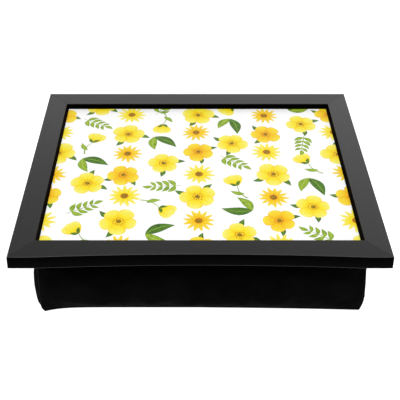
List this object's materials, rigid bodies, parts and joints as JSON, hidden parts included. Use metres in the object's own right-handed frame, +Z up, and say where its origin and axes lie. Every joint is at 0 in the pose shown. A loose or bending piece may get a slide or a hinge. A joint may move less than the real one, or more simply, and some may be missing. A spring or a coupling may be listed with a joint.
{
  "type": "breakfast tray",
  "caption": "Rectangular lap tray: black mitred frame round a recessed printed board, on a boxed bean-bag cushion held by hook-and-loop tape.",
  "frame": {"origin": "on the surface that the cushion stands on, under the middle of the tray", "axes": "+X to the right along the tray's width, +Y to the back, +Z up; the front rail faces -Y"},
  "size_m": [0.432, 0.342, 0.099],
  "materials": {
    "stained_frame": "black stained and lacquered wood moulding, satin",
    "printed_laminate": "printed melamine laminate, wipe-clean, low gloss",
    "fibreboard": "bare medium-density fibreboard",
    "hardboard": "brown hardboard, smooth face down",
    "steel": "blued spring steel",
    "hook_tape": "black nylon hook tape",
    "loop_tape": "black nylon loop tape",
    "cushion_fabric": "black brushed polyester weave",
    "bead_fill": "loose expanded polystyrene beads"
  },
  "bodies": {
    "cushion": {"cushion_front_panel": "cushion_fabric", "cushion_right_panel": "cushion_fabric", "cushion_back_panel": "cushion_fabric", "cushion_left_panel": "cushion_fabric", "cushion_top_panel": "cushion_fabric", "cushion_bottom_panel": "cushion_fabric", "bead_fill": "bead_fill", "loop_tape_front_left": "loop_tape", "loop_tape_front_right": "loop_tape", "loop_tape_back_right": "loop_tape", "loop_tape_back_left": "loop_tape"},
    "tray": {"front_rail": "stained_frame", "right_rail": "stained_frame", "back_rail": "stained_frame", "left_rail": "stained_frame", "v_nail_front_left_outer": "steel", "v_nail_front_left_inner": "steel", "v_nail_front_right_outer": "steel", "v_nail_front_right_inner": "steel", "v_nail_back_right_outer": "steel", "v_nail_back_right_inner": "steel", "v_nail_back_left_outer": "steel", "v_nail_back_left_inner": "steel", "flexi_point_front_1": "steel", "flexi_point_front_2": "steel", "flexi_point_front_3": "steel", "flexi_point_right_1": "steel", "flexi_point_right_2": "steel", "flexi_point_back_1": "steel", "flexi_point_back_2": "steel", "flexi_point_back_3": "steel", "flexi_point_left_1": "steel", "flexi_point_left_2": "steel", "print_laminate": "printed_laminate", "print_board": "fibreboard", "backing_board": "hardboard", "hook_tape_front_left": "hook_tape", "hook_tape_front_right": "hook_tape", "hook_tape_back_right": "hook_tape", "hook_tape_back_left": "hook_tape"}
  },
  "joints": [
    {"name": "tray_lift_off", "type": "slide", "parent": "cushion", "child": "tray", "axis": [0, 0, 1], "range_m": [0, 0.1]}
  ]
}
